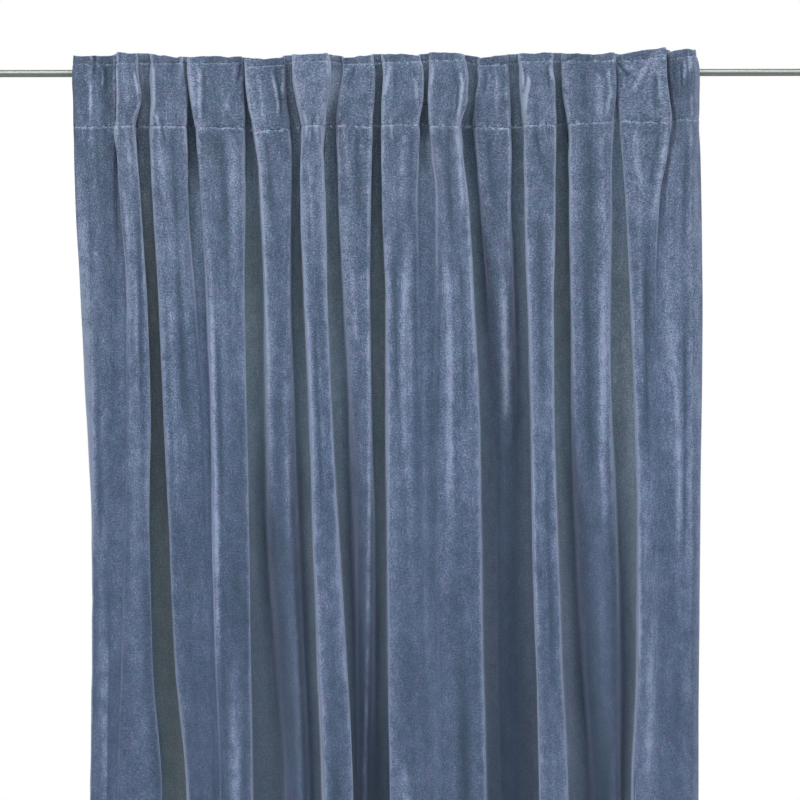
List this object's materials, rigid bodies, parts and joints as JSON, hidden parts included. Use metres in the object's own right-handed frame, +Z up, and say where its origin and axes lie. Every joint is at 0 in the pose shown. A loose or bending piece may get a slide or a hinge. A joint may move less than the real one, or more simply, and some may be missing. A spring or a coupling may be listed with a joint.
{
  "type": "velvet curtain on a steel rod",
  "caption": "Gathered full-length curtain of plain blue-grey velvet, hung by tape loops from a slim steel rod, with soft uneven folds and a bottom hem.",
  "frame": {"origin": "middle of the rod's length, on the rod's axis", "axes": "+Z up, +X along the rod to the right of someone facing the curtain's front, +Y away from them towards the wall; the front of the cloth faces -Y"},
  "size_m": [1, 0.0899, 2.4081],
  "materials": {
    "velvet": "soft dusty blue-grey cotton velvet with crushed, mottled pile",
    "tape": "grey woven heading tape and loops",
    "rod": "drawn, polished stainless steel"
  },
  "bodies": {
    "root": {"curtain_panel": "velvet", "heading_tape": "tape", "hanging_loop_01": "tape", "hanging_loop_02": "tape", "hanging_loop_03": "tape", "hanging_loop_04": "tape", "hanging_loop_05": "tape", "hanging_loop_06": "tape", "hanging_loop_07": "tape", "hanging_loop_08": "tape", "hanging_loop_09": "tape", "hanging_loop_10": "tape", "hanging_loop_11": "tape", "hanging_loop_12": "tape", "hanging_loop_13": "tape", "hanging_loop_14": "tape", "rod": "rod"}
  },
  "joints": []
}
